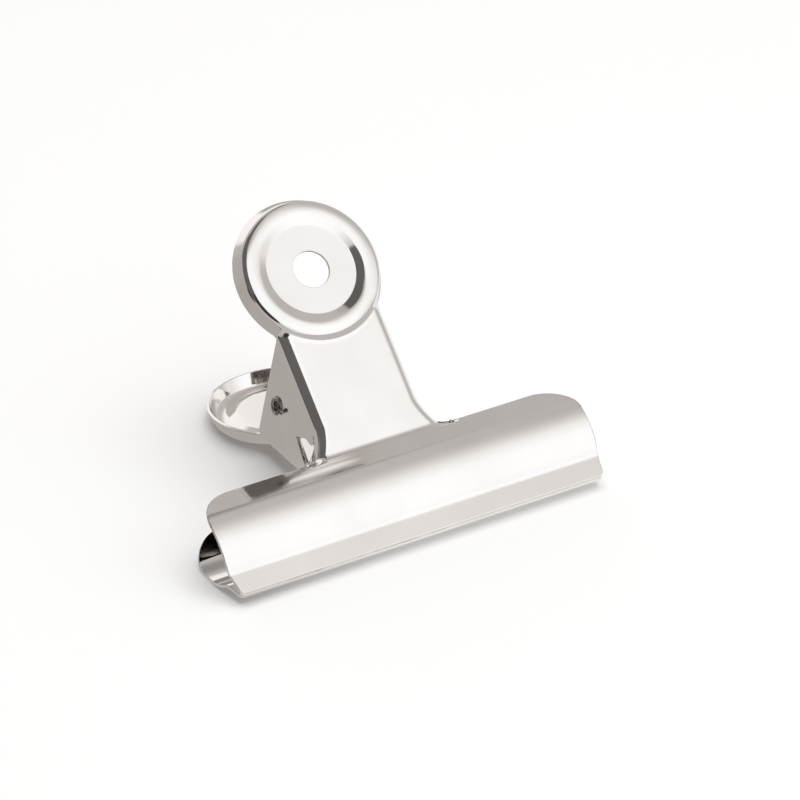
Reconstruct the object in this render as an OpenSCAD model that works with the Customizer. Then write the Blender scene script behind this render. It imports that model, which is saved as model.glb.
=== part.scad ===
// Round-handled bulldog clip: two pressed leaves of plated sheet steel and one wound spring.
// The clip is modelled closed, standing on its lips, and is then laid on its rear leaf.
// X runs along the jaw. In the standing clip Y points to the rear leaf and Z to the handles.

/* [Sheet steel] */
// Thickness of the sheet that both leaves are pressed from
sheet_t = 0.6; // [0.45:0.05:0.75]

/* [Jaw] */
// Width of the jaw across its bulge
jaw_w = 76.2; // [60:0.2:100]
// How much shorter the lip is at each end
lip_inset = 0.8; // [0.2:0.1:2]
// Length of the straight lip
lip_len = 3.6; // [2:0.1:6]
// Outward lean of the lip, in degrees
lip_lean = 16; // [8:1:24]
// Gap left between the closed lips
lip_gap = 0.15; // [0.1:0.01:0.3]
// Outer radius of the bend above the lip
bend_r = 1.5; // [1:0.1:3]
// Outward lean where the bend runs into the bulge, in degrees
bulge_lean = 52; // [44:1:58]
// Outer radius of the bulge
bulge_r = 11.25; // [9.5:0.05:13]
// Inward lean at the crease below the neck, in degrees
crease_lean = 31; // [26:1:36]
// Outer radius of the crease
crease_r = 1.5; // [0.8:0.1:2.5]
// Inward lean at the top edge of the flanks, in degrees
flank_lean = 29.5; // [28:0.5:33]
// Radius of the upper corners of the jaw
jaw_corner_r = 7; // [3:0.5:9]
// Radius of the corners of the lip
lip_corner_r = 0.9; // [0.4:0.1:1.5]

/* [Neck] */
// Outward lean of the neck and the handle, in degrees
handle_lean = 24.6; // [20:0.2:28]
// Width of the front neck over its folded sides
neck_w = 21; // [17:0.2:23]
// Distance from the crease to the middle of the head
neck_len = 34; // [31:0.5:38]
// Outer radius of the folds along the neck
fold_r = 1.6; // [1:0.1:2.2]
// Radius of the flare from the neck into the flanks
flare_r = 4.5; // [4:0.25:6]
// Step from the flat of the head down to the neck
neck_drop = 0.49; // [0.3:0.01:0.7]

/* [Head] */
// Diameter of the round head
rim_d = 28.4; // [26:0.2:31]
// Radius of the rolled rim
roll_r = 3.2; // [2.6:0.1:3.6]
// Height of the raised ring over the flat of the head
ring_rise = 0.75; // [0.5:0.05:0.9]
// Diameter of the flat in the head
flat_d = 16.9; // [15.6:0.1:17.6]
// Inside radius where the flat turns up into the slope of the ring
dish_r = 0.5; // [0.3:0.1:1]
// Diameter of the hanging hole
hole_d = 7; // [5:0.1:9]

/* [Ears and pivot] */
// Height of the pivot above the lips
pivot_z = 36.9; // [35.5:0.1:38.5]
// Distance below the middle of the head at which the ears leave the rim
ear_top = 9; // [8.5:0.1:10]
// Reach of the outer ears behind the pivot
ear_back = 12.8; // [11:0.1:13.2]
// Height of the outer ears' rear tip above the pivot
ear_rise = 4.6; // [4:0.1:6]
// Distance of the outer ears' foot behind the pivot
foot_back = 4.4; // [3:0.1:5]
// Depth of the outer ears' foot below the pivot
foot_drop = 11.5; // [10:0.1:12.5]
// Width of the outer ears' blunt foot
foot_w = 2.2; // [1.6:0.1:3]
// How much smaller the inner ears are at the tip, the foot and the relief
inner_trim = 3.6; // [3:0.1:4]
// Rounding of the ears' tips
tip_r = 1.2; // [0.6:0.1:2]
// Height of the relief's top corner below the pivot
relief_drop = 6.9; // [6.5:0.1:8]
// Distance of the outer relief's top corner behind the pivot
relief_back = 1; // [0:0.1:1.5]
// Depth of the outer flange beside the relief
flange_depth = 5.4; // [4.8:0.1:6]
// Gap between the outer and the inner ears
ear_gap = 0.15; // [0.1:0.01:0.3]

/* [Spring] */
// Thickness of the spring wire
wire_d = 0.8; // [0.6:0.05:0.8]
// Outer diameter of the coil, which is also the pivot
coil_d = 3.4; // [3:0.1:3.8]
// Pitch of the coil
coil_pitch = 1.3; // [1.3:0.02:1.5]
// Turns of the coil between the two legs
mid_turns = 6; // [4:1:7]
// Turns of the coil in each end, out through the ears
end_turns = 4; // [4:1:6]
// Lean of the legs towards the handles, in degrees
leg_lean = 35; // [25:1:42]
// Spacing of the two wires of a leg along the coil
leg_step = 2.4; // [2:0.1:3]
// Clearance of the coil in the ears' holes
pivot_clear = 0.05; // [0.02:0.01:0.1]
// Gap between the end of a leg and the neck that it presses
leg_gap = 0.15; // [0.1:0.01:0.3]

/* [Hidden] */

arc_step = 6;
past = 1;
wire_sides = 6;
rings_per_turn = 8;
ring_step = 360 / rings_per_turn;
flare_rows = 7;
flare_cols = 8;
flare_skin = 0.1;

// Directions in the side view: along a strip that leans outward, and out of its outer face
function along(lean) = [-sin(lean), cos(lean)];
function outward(lean) = [-cos(lean), -sin(lean)];
function unit(v) = v / norm(v);
function polar(r, angle) = r * [cos(angle), sin(angle)];
function reversed(list) = [for (i = [len(list) - 1:-1:0]) list[i]];
function arc_points(c, r, from, to) =
    let (n = max(1, ceil(abs(to - from) / arc_step)))
    [for (i = [0:n]) c + polar(r, from + (to - from) * i / n)];

// Corner of an outline at p, rounded by p[2], between its neighbours a and b
function rounded_corner(a, p, b) =
    let (
        q = [p[0], p[1]],
        ua = unit([a[0], a[1]] - q),
        ub = unit([b[0], b[1]] - q),
        half = acos(ua * ub) / 2,
        c = q + unit(ua + ub) * p[2] / sin(half),
        start = q + ua * p[2] / tan(half) - c,
        end = q + ub * p[2] / tan(half) - c,
        from = atan2(start[1], start[0]),
        turn = atan2(cross(start, end), start * end)
    )
    arc_points(c, p[2], from, from + turn);
function outline(points) =
    let (n = len(points))
    [for (i = [0:n - 1])
        each points[i][2] > 0
            ? rounded_corner(points[(i + n - 1) % n], points[i], points[(i + 1) % n])
            : [[points[i][0], points[i][1]]]];

// Side view of the jaw, from the lip up, along the outer face of the front leaf
tip = [-lip_gap / 2 - sheet_t * cos(lip_lean), 0];
lip_end = tip + lip_len * along(lip_lean);
bend_c = lip_end + bend_r * outward(lip_lean);
bulge_c = bend_c + (bend_r + bulge_r) * polar(1, bulge_lean);
crease = bulge_c - polar(bulge_r, -crease_lean);
flank_z = bulge_c[1] + bulge_r * sin(flank_lean);

// The crease is rounded by an arc that touches the bulge and the neck
crease_start = crease + crease_r * outward(handle_lean) - bulge_c;
crease_b = crease_start * along(handle_lean);
crease_s = -crease_b + sqrt(crease_b ^ 2 - crease_start * crease_start + (bulge_r + crease_r) ^ 2);
crease_c = bulge_c + crease_start + crease_s * along(handle_lean);
touch = bulge_c - crease_c;
touch_lean = atan2(touch[1], touch[0]);

// Head, with its depths counted from its flat towards the inside of the clip
head_c = crease + neck_len * along(handle_lean) + neck_drop * outward(handle_lean);
rim_r = rim_d / 2;
roll_c = rim_r - roll_r;
roll_depth = roll_r - ring_rise;
dish_span = [roll_c - flat_d / 2, roll_depth + dish_r];
dish_turn = atan2(dish_span[0], dish_span[1]) - acos((dish_r + roll_r) / norm(dish_span));
neck_back = neck_drop + sheet_t;

// Side-view point that lies a given way up and behind the middle of the head
function from_head(up, depth) = head_c + up * along(handle_lean) - depth * outward(handle_lean);

// Ears: tip, foot and relief, seen from the pivot
pivot = [0, pivot_z];
ear_tip = [ear_back, ear_rise];
ear_foot = [foot_back, -foot_drop];
function trimmed(p, trim) = pivot + p * (1 - trim / norm(p));
hole_r = coil_d / 2 + pivot_clear;
inner_neck_w = neck_w - 2 * (sheet_t + ear_gap);

// The clip lies on the bulge of the rear jaw and the rim of the rear head
rear_bulge = [-bulge_c[0], bulge_c[1]];
top_roll = from_head(roll_c, roll_depth);
rear_roll = [-top_roll[0], top_roll[1]];
span = rear_roll - rear_bulge;
lie = acos((bulge_r - roll_r) / norm(span)) - atan2(span[1], span[0]);
lie_down = [cos(lie), -sin(lie)];
lie_back = [sin(lie), cos(lie)];
floor_drop = rear_bulge * lie_down + bulge_r;
rear_rim = [-from_head(rim_r, roll_depth)[0], from_head(rim_r, roll_depth)[1]];
mid_depth = (rear_rim * lie_back + tip * lie_back) / 2;

// Coil axis and legs
coil_r = (coil_d - wire_d) / 2;
leg_dir = leg_lean - handle_lean;
neck_reach = (pivot - crease) * -outward(handle_lean) - sheet_t;
hairpin_r = norm([leg_step, 2 * coil_r]) / 2;
hairpin_lift = norm([sin(leg_lean) * coil_r, cos(leg_lean) * hairpin_r]);
leg_len = (neck_reach - leg_gap - wire_d / 2 - hairpin_lift) / cos(leg_lean);
rear_leave = leg_dir - 90;
front_leave = 90 - leg_dir;
mid_sweep = 360 * mid_turns + front_leave - rear_leave - 180;
mid_half = coil_pitch * mid_sweep / 720;

module laid_down()
    translate([0, -mid_depth, floor_drop])
        rotate([lie - 90, 0, 0])
            children();

// Puts a shape drawn on the head, with its outer side up, into the front leaf
module on_front_head()
    translate([0, head_c[0], head_c[1]])
        rotate([90 + handle_lean, 0, 0])
            children();

// Extrudes a side view along the jaw
module along_jaw(width)
    translate([-width / 2, 0, 0])
        rotate([90, 0, 90])
            linear_extrude(width)
                children();

// Strip of sheet in the side view, between an outer and an inner face
module strip(outer, inner)
    polygon(concat(outer, reversed(inner)));

function jaw_face(inset, top_lean) = concat(
    [tip - inset * outward(lip_lean)],
    arc_points(bend_c, bend_r + inset, lip_lean, bulge_lean),
    arc_points(bulge_c, bulge_r - inset, 180 + bulge_lean, 180 + touch_lean),
    top_lean < touch_lean ? arc_points(bulge_c, bulge_r - inset, 180 + touch_lean, 180 + top_lean) : []
);

function neck_face(inset) = concat(
    arc_points(crease_c, crease_r + inset, touch_lean, handle_lean),
    [from_head(-rim_r - past, neck_drop + inset)]
);

// Front view of the jaw: rounded upper corners, and ends that close in towards the lip
module jaw_front() {
    half = jaw_w / 2;
    lip_half = half - lip_inset;
    polygon(outline([
        [half, bulge_c[1] - jaw_corner_r, 0],
        [half, flank_z, jaw_corner_r],
        [-half, flank_z, jaw_corner_r],
        [-half, bulge_c[1] - jaw_corner_r, 0],
        [-lip_half, 0, lip_corner_r],
        [lip_half, 0, lip_corner_r]
    ]));
}

// Space between the flanks, which the neck's root and its flares fill
module root_gap(neck) {
    width = neck + 2 * flare_r;
    far = 2 * bulge_r;
    along_jaw(width)
        polygon([
            bulge_c,
            bulge_c - polar(far, touch_lean),
            bulge_c - polar(far, touch_lean - 60)
        ]);
}

module jaw(neck) {
    reach = 2 * (bulge_r + jaw_w);
    difference() {
        intersection() {
            along_jaw(jaw_w + 2 * past)
                strip(jaw_face(0, -flank_lean - arc_step), jaw_face(sheet_t, -flank_lean - arc_step));
            translate([0, reach / 2, 0])
                rotate([90, 0, 0])
                    linear_extrude(reach)
                        jaw_front();
        }
        root_gap(neck);
    }
}

// Middle of the sheet above the crease: up the neck where share is 0, up the flank where it is 1
function flank_mid(v) = bulge_c - polar(bulge_r - sheet_t / 2, touch_lean - arc_angle(v, bulge_r - sheet_t / 2));
function arc_angle(length, r) = length * 180 / (PI * r);
function neck_mid(v) =
    let (r = crease_r + sheet_t / 2, turned = touch_lean + arc_angle(v, r))
    v <= 0 ? flank_mid(v)
    : turned < handle_lean ? crease_c + polar(r, turned)
    : crease_c + polar(r, handle_lean)
        + (v - (handle_lean - touch_lean) * PI * r / 180) * along(handle_lean);
function smooth(s) = let (c = max(0, min(1, s))) c * c * (3 - 2 * c);
function root_point(x, v, side_x) =
    let (share = smooth((x - side_x) / flare_r), p = (1 - share) * neck_mid(v) + share * flank_mid(v))
    [x, p[0], p[1]];
function root_normal(x, v, side_x) =
    let (d = 0.01)
    unit(cross(
        root_point(x + d, v, side_x) - root_point(x - d, v, side_x),
        root_point(x, v + d, side_x) - root_point(x, v - d, side_x)
    ));

// Closed skin over a grid of points on the outer and inner side of a sheet
module sheet_skin(outer, inner) {
    rows = len(outer);
    cols = len(outer[0]);
    function at(i, j, side) = (side * rows + i) * cols + j;
    function quad(a, b, c, d) = [[a, c, b], [a, d, c]];
    faces = [
        for (i = [0:rows - 2], j = [0:cols - 2])
            each concat(
                quad(at(i, j, 0), at(i + 1, j, 0), at(i + 1, j + 1, 0), at(i, j + 1, 0)),
                quad(at(i, j, 1), at(i, j + 1, 1), at(i + 1, j + 1, 1), at(i + 1, j, 1))
            ),
        for (i = [0:rows - 2])
            each concat(
                quad(at(i, 0, 0), at(i, 0, 1), at(i + 1, 0, 1), at(i + 1, 0, 0)),
                quad(at(i, cols - 1, 0), at(i + 1, cols - 1, 0), at(i + 1, cols - 1, 1), at(i, cols - 1, 1))
            ),
        for (j = [0:cols - 2])
            each concat(
                quad(at(0, j, 0), at(0, j + 1, 0), at(0, j + 1, 1), at(0, j, 1)),
                quad(at(rows - 1, j, 0), at(rows - 1, j, 1), at(rows - 1, j + 1, 1), at(rows - 1, j + 1, 0))
            )
    ];
    polyhedron([for (side = [outer, inner], row = side) each row], faces);
}

// Flare that turns from the side of the neck into one flank
module flare(neck) {
    side_x = neck / 2;
    flank_v = (flank_lean + touch_lean) * PI * (bulge_r - sheet_t / 2) / 180;
    edge = concat(
        [[side_x - fold_r - past, flank_v + flare_r]],
        [for (i = [0:flare_cols])
            [side_x + flare_r, flank_v + flare_r] - polar(flare_r, 90 * i / flare_cols)],
        [[side_x + flare_r + past, flank_v]]
    );
    half_t = (sheet_t - flare_skin) / 2;
    function lifted(e, f, h) =
        let (v = -past + (e[1] + past) * f)
        root_point(e[0], v, side_x) + h * root_normal(e[0], v, side_x);
    sheet_skin(
        [for (e = edge) [for (j = [0:flare_rows]) lifted(e, j / flare_rows, half_t)]],
        [for (e = edge) [for (j = [0:flare_rows]) lifted(e, j / flare_rows, -half_t)]]
    );
}

// Root of the neck: the rounded crease and the flat above it, with a flare on each side
module neck_root(neck) {
    along_jaw(neck - 2 * fold_r)
        strip(neck_face(0), neck_face(sheet_t));
    flare(neck);
    mirror([1, 0, 0])
        flare(neck);
}

// Pressed dish with a rolled rim, a raised ring and a hanging hole
module head(neck) {
    function face(inset) = concat(
        [[hole_d / 2, -inset]],
        arc_points([flat_d / 2, dish_r], dish_r + inset, -90, -90 + dish_turn),
        arc_points([roll_c, -roll_depth], roll_r - inset, 90 + dish_turn, 0)
    );
    under = neck - 2 * fold_r;
    difference() {
        rotate_extrude($fn = 96)
            strip(face(0), face(sheet_t));
        translate([-under / 2, -rim_r - past, -roll_depth - past])
            cube([under, rim_r + past - ear_top, roll_depth + past - neck_back]);
    }
}

// Inside of the head, which the neck stops at
module head_core() {
    r = roll_r - sheet_t / 2;
    rotate_extrude($fn = 96) {
        translate([roll_c, -roll_depth])
            circle(r, $fn = 64);
        translate([0, -roll_depth - r])
            square([roll_c, 2 * r]);
    }
}

// Channel section of the neck: a flat face with both sides folded in
module channel(neck) {
    deep = 2 * rim_r + past;
    function wall(inset) =
        let (half = neck / 2 - inset, top = -neck_drop - inset, r = fold_r - inset)
        concat(
            [[-half, -deep]],
            arc_points([-half + r, top - r], r, 180, 90),
            arc_points([half - r, top - r], r, 90, 0),
            [[half, -deep]]
        );
    rotate([90, 0, 0])
        linear_extrude(neck_len)
            strip(wall(0), wall(sheet_t));
}

// Side view of the folded neck with its ears, which stay trim short of the full tip and foot
module ear_side(trim) {
    notch = pivot + [relief_back - trim, -relief_drop];
    flange = neck_drop + flange_depth - trim;
    flare_top = -neck_len + flare_r;
    crease_top = -neck_len + past;
    polygon(outline([
        concat(from_head(-ear_top + past, -past), 0),
        concat(from_head(-ear_top, roll_depth), 0),
        concat(trimmed(ear_tip, trim), tip_r),
        concat(trimmed(ear_foot + [foot_w, 0], trim), tip_r / 2),
        concat(trimmed(ear_foot, trim), tip_r / 4),
        concat(notch, tip_r / 4),
        concat(from_head(flare_top + past, flange + past), tip_r),
        concat(from_head(flare_top - past, flange), 0),
        concat(from_head(crease_top, neck_back), 0),
        concat(from_head(crease_top, -past), 0)
    ]));
}

module folded_neck(neck, trim) {
    difference() {
        intersection() {
            on_front_head()
                channel(neck);
            along_jaw(neck + 2 * past)
                ear_side(trim);
        }
        on_front_head()
            head_core();
        translate([-neck, 0, pivot_z])
            rotate([0, 90, 0])
                cylinder(h = 2 * neck, r = hole_r, $fn = 48);
    }
}

module leaf(neck, trim) {
    jaw(neck);
    neck_root(neck);
    folded_neck(neck, trim);
    on_front_head()
        head(neck);
}

module front_leaf() {
    color("silver")
        laid_down()
            leaf(neck_w, 0);
}

module rear_leaf() {
    color("lightgray")
        laid_down()
            mirror([0, 1, 0])
                leaf(inner_neck_w, inner_trim);
}

// Middle line of the wire: coil, rear leg, coil, front leg, coil
function coil_point(x, angle) = [x, coil_r * cos(angle), pivot_z + coil_r * sin(angle)];
function coil_run(x, from, turned) =
    let (n = ceil(turned / ring_step))
    [for (i = [0:n]) coil_point(x + coil_pitch * turned * i / n / 360, from + turned * i / n)];
function leg_run(x, leave) =
    let (
        out = leg_len * [0, -sin(leave), cos(leave)],
        a = coil_point(x, leave) + out,
        b = coil_point(x + leg_step, leave + 180) + out,
        mid = (a + b) / 2,
        tip_dir = hairpin_r * unit(out)
    )
    [for (i = [0:rings_per_turn / 2]) mid + (a - mid) * cos(i * ring_step) + tip_dir * sin(i * ring_step)];
end_sweep = 360 * end_turns;
end_x = mid_half + leg_step + coil_pitch * end_turns;
wire_path = concat(
    coil_run(-end_x, rear_leave, end_sweep),
    leg_run(-mid_half - leg_step, rear_leave),
    coil_run(-mid_half, rear_leave + 180, mid_sweep),
    leg_run(mid_half, front_leave),
    coil_run(mid_half + leg_step, front_leave + 180, end_sweep)
);

// Least gap of the wire to itself, between points that lie more than half a turn apart
wire_n = len(wire_path);
wire_gap = min([
    for (i = [0:wire_n - 1], j = [i + rings_per_turn / 2:1:wire_n - 1])
        norm(wire_path[i] - wire_path[j])
]) - wire_d;
echo(least_wire_gap_mm = wire_gap);

// Round wire swept along a path that never runs along X
module wire(path) {
    n = len(path);
    function heading(i) = unit(path[min(i + 1, n - 1)] - path[max(i - 1, 0)]);
    function ring(i) =
        let (t = heading(i), a = unit([1, 0, 0] - t * t[0]), b = cross(t, a))
        [for (k = [0:wire_sides - 1])
            path[i] + wire_d / 2 * (a * cos(360 * k / wire_sides) + b * sin(360 * k / wire_sides))];
    function at(i, k) = i * wire_sides + k % wire_sides;
    faces = [
        for (i = [0:n - 2], k = [0:wire_sides - 1])
            each [
                [at(i, k), at(i + 1, k + 1), at(i, k + 1)],
                [at(i, k), at(i + 1, k), at(i + 1, k + 1)]
            ],
        for (k = [1:wire_sides - 2])
            each [
                [at(0, 0), at(0, k), at(0, k + 1)],
                [at(n - 1, 0), at(n - 1, k + 1), at(n - 1, k)]
            ]
    ];
    polyhedron([for (i = [0:n - 1]) each ring(i)], faces);
}

module torsion_spring() {
    color("gainsboro")
        laid_down()
            wire(wire_path);
}

front_leaf();
rear_leaf();
torsion_spring();
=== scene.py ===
# %% [markdown]
# # A bulldog clip in bright nickel plate
# The clip is three pieces: two pressed leaves of sheet steel, and one wound spring that is also their
# pivot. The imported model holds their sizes, joints and places. This lesson dresses it: it loads that
# model as a fixed frame, builds finer skins for the same three pieces, and lights them so that the
# plating has something to mirror.

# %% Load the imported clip
import math

import bmesh
import bpy
import numpy as np
from mathutils import Matrix, Vector


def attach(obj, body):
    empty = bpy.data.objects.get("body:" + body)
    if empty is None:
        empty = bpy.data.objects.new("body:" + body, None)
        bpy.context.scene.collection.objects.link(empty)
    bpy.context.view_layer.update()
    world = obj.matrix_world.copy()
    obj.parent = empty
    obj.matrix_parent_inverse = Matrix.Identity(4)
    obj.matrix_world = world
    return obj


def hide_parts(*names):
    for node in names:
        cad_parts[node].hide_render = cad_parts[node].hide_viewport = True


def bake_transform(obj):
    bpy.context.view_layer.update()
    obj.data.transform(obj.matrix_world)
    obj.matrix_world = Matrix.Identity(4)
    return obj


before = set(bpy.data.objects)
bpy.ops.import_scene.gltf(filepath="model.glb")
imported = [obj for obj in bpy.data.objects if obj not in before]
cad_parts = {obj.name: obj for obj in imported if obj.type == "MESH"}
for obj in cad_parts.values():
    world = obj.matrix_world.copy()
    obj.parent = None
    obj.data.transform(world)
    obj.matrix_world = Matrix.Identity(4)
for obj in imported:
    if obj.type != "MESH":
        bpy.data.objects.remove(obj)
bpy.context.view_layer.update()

mm_per_m = 1000.0

# %% [markdown]
# ## The sizes of the clip
# A mirror finish shows every flat of a coarse mesh, so the leaves are worked out again from their own
# drawing. The drawing stands the closed clip on its lips: X runs along the jaw, Y to the rear leaf and Z
# up to the handles. Sizes are in millimetres, angles in degrees. A lean is how far a strip of sheet tilts
# outward from upright.

# %% Driving sizes of the sheet, the jaw and the neck
sheet_t = 0.6
jaw_half, lip_inset, jaw_corner_r, lip_corner_r = 38.1, 0.8, 7.0, 0.9
lip_len, lip_lean, lip_gap = 3.6, 16.0, 0.15
bend_r, bulge_lean, bulge_r = 1.5, 52.0, 11.25
crease_lean, crease_r, band_lean, flank_lean = 31.0, 1.5, 4.4, 29.5
handle_lean, neck_half, neck_len = 24.6, 10.5, 34.0
# The neck lies neck_drop below the flat of the head, and the two pairs of ears are ear_gap apart.
neck_drop, ear_gap = 0.49, 0.15

# %% Driving sizes of the head, the ears and the spring
rim_r, roll_r, ring_rise, flat_r, dish_r, hole_r = 14.2, 3.2, 0.75, 8.45, 0.5, 3.5
# The corners of an ear and its relief notch are given from the pivot, to the rear and up.
pivot = np.array([0.0, 36.9])
ear_tip, ear_foot, foot_w = np.array([12.8, 4.6]), np.array([4.4, -11.5]), np.array([2.2, 0.0])
tip_round, inner_trim = 1.2, 3.6
relief = np.array([1.0, -6.9])
flange_depth = 5.4
wire_d, coil_d, coil_pitch = 0.8, 3.4, 1.3
mid_turns, end_turns, leg_lean, leg_step, leg_gap = 6, 4, 35.0, 2.4, 0.15
pivot_clear = 0.05

# %% [markdown]
# ## The side view
# Seen from the end, a leaf is one strip: a straight lip, a tight bend, the long bulge of the jaw, a flat
# band along its top, a crease and the straight neck. The whole strip is a handful of lines and arcs, and
# a point on it is found from its distance up from the lip. Flanks and neck share the strip up to the
# crease and then part. The band is nearly flat, because the picture shows a clear mirror image of the
# handle in it, with a crisp lower edge.

# %% Lines and arcs of the side view
def polar(r, degrees):
    a = np.radians(degrees)
    return np.stack([r * np.cos(a), r * np.sin(a)], axis=-1)


def along(lean):
    return polar(1.0, 90.0 + lean)


def outward(lean):
    return polar(1.0, 180.0 + lean)


tip = np.array([-lip_gap / 2 - sheet_t * math.cos(math.radians(lip_lean)), 0.0])
bend_c = tip + lip_len * along(lip_lean) + bend_r * outward(lip_lean)
bulge_c = bend_c + polar(bend_r + bulge_r, bulge_lean)
crease = bulge_c - polar(bulge_r, -crease_lean)
band_foot, band_top = (bulge_c - polar(bulge_r, -lean) for lean in (band_lean, flank_lean))
touch_lean = -(band_lean + flank_lean) / 2
run_band, _ = np.linalg.solve(np.stack([along(touch_lean), -along(handle_lean)], axis=1), crease - band_foot)
run_band -= crease_r * math.tan(math.radians(handle_lean - touch_lean) / 2)
crease_c = band_foot + run_band * along(touch_lean) + crease_r * outward(touch_lean)
neck_foot = crease_c + polar(crease_r, handle_lean)
head_c = crease + neck_len * along(handle_lean) + neck_drop * outward(handle_lean)

# Distances up the strip at which its stretches meet.
s_bend = lip_len
s_bulge = s_bend + bend_r * math.radians(bulge_lean - lip_lean)
s_band = s_bulge + bulge_r * math.radians(bulge_lean + band_lean)
s_touch = s_band + run_band
s_neck = s_touch + crease_r * math.radians(handle_lean - touch_lean)
s_flank = s_band + np.linalg.norm(band_top - band_foot)
levels = (s_bend, s_bulge, s_band, s_touch, s_neck)
print("lip, bend, bulge, band and crease end at", [round(s, 2) for s in levels], "mm")


# %% A point of the strip, up the flank or up the neck
def up_flank(s):
    s = np.asarray(s, float)
    on_lip = tip + s[..., None] * along(lip_lean)
    on_bend = bend_c + polar(bend_r, lip_lean + np.degrees((s - s_bend) / bend_r))
    on_bulge = bulge_c - polar(bulge_r, bulge_lean - np.degrees((s - s_bulge) / bulge_r))
    on_band = band_foot + (s - s_band)[..., None] * along(touch_lean)
    above = np.where((s < s_band)[..., None], on_bulge, on_band)
    return np.where((s < s_bend)[..., None], on_lip, np.where((s < s_bulge)[..., None], on_bend, above))


def up_neck(s):
    s = np.asarray(s, float)
    on_crease = crease_c + polar(crease_r, touch_lean + np.degrees((s - s_touch) / crease_r))
    on_neck = neck_foot + (s - s_neck)[..., None] * along(handle_lean)
    above = np.where((s < s_neck)[..., None], on_crease, on_neck)
    return np.where((s < s_touch)[..., None], up_flank(s), above)


def from_head(x, up, out):
    """Point of the standing front leaf, given on its head: across, up the handle, and out of its face."""
    x, up, out = np.broadcast_arrays(np.asarray(x, float), up, out)
    side = head_c + up[..., None] * along(handle_lean) + out[..., None] * outward(handle_lean)
    return np.concatenate([x[..., None], side], axis=-1)


def smooth(f):
    f = np.clip(f, 0.0, 1.0)
    return f * f * (3 - 2 * f)


# %% [markdown]
# ## Laying the clip down
# In the picture the closed clip lies on its rear leaf, on the bulge of the jaw and the rim of the head.
# Those two are circles in the side view, so the floor is the line that touches both. One turn and one
# shift then take every drawn point to its place, in metres.

# %% The turn and the shift
roll_c, roll_depth = rim_r - roll_r, roll_r - ring_rise
back = np.array([-1.0, 1.0])
top_roll = from_head(0, roll_c, -roll_depth)[1:] * back
span = top_roll - bulge_c * back
lie = math.acos((bulge_r - roll_r) / np.linalg.norm(span)) - math.atan2(span[1], span[0])
lie_down = np.array([math.cos(lie), -math.sin(lie)])
lie_back = np.array([math.sin(lie), math.cos(lie)])
floor_drop = (bulge_c * back) @ lie_down + bulge_r
rear_rim = from_head(0, rim_r, -roll_depth)[1:] * back
mid_depth = (rear_rim @ lie_back + tip @ lie_back) / 2


def laid_down(points):
    """Standing millimetres to lying metres."""
    p = np.asarray(points, float)
    y, z = p[..., 1:] @ lie_back - mid_depth, floor_drop - p[..., 1:] @ lie_down
    return np.stack([p[..., 0], y, z], axis=-1) / mm_per_m


print("the clip leans", round(math.degrees(lie), 2), "degrees; pivot at", laid_down([0, *pivot]).round(5))

# %% [markdown]
# ## The jaw and the root of the neck
# The lower patch of a leaf is a net of columns across the jaw and rows up the strip. Columns are counted
# on the flat blank, before folding. Where the neck begins, a share runs from the neck's strip to the
# flank's strip, and a fold that is square at the seam opens out flat at the crease: that is the flare
# beside the neck.

# %% Widths of the fold
seam_up, strip_w = -28.0, 0.8
fold_w, fold_h, fold_soft, fold_round = 1.2, 1.28, 2.0, 0.7
fold_turn = math.atan2(fold_h, fold_w)
rest_turn = math.pi / 2 - fold_turn
soft_cut, round_cut = fold_soft * math.tan(fold_turn / 2), fold_round * math.tan(rest_turn / 2)
soft_len, round_len = fold_soft * fold_turn, fold_round * rest_turn
bevel_len = math.hypot(fold_w, fold_h) - soft_cut - round_cut
fold_len = soft_len + bevel_len + round_len
fold_out, fold_deep = fold_w + soft_cut, fold_h + round_cut
print("fold:", round(fold_len, 2), "mm of sheet, of which", round(bevel_len, 2), "mm are straight")

# %% Levels up the strip, and the widths of the flare
flare_w, neck_spread, spread_power, spread_fade = 1.4, 2.6, 1.5, 12.0
# The fold opens out between two levels beside the crease. Rows end at one level up to the belly of the jaw.
belly_lean, fold_opens, fold_shuts = 8.0, -0.6, 1.0
s_seam = s_neck + seam_up - (neck_foot - head_c) @ along(handle_lean)
s_belly = s_bulge + bulge_r * math.radians(bulge_lean - belly_lean)
s_open, s_shut = s_touch + fold_opens, s_touch + fold_shuts
print("seam at", round(s_seam, 2), "flank edge at", round(s_flank, 2), "mm up the strip")

# %% Columns of the net
flat_cols, soft_cols, bevel_cols, sharp_cols, strip_cols, turn_cols, flank_cols = 17, 11, 5, 6, 5, 17, 18


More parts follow.
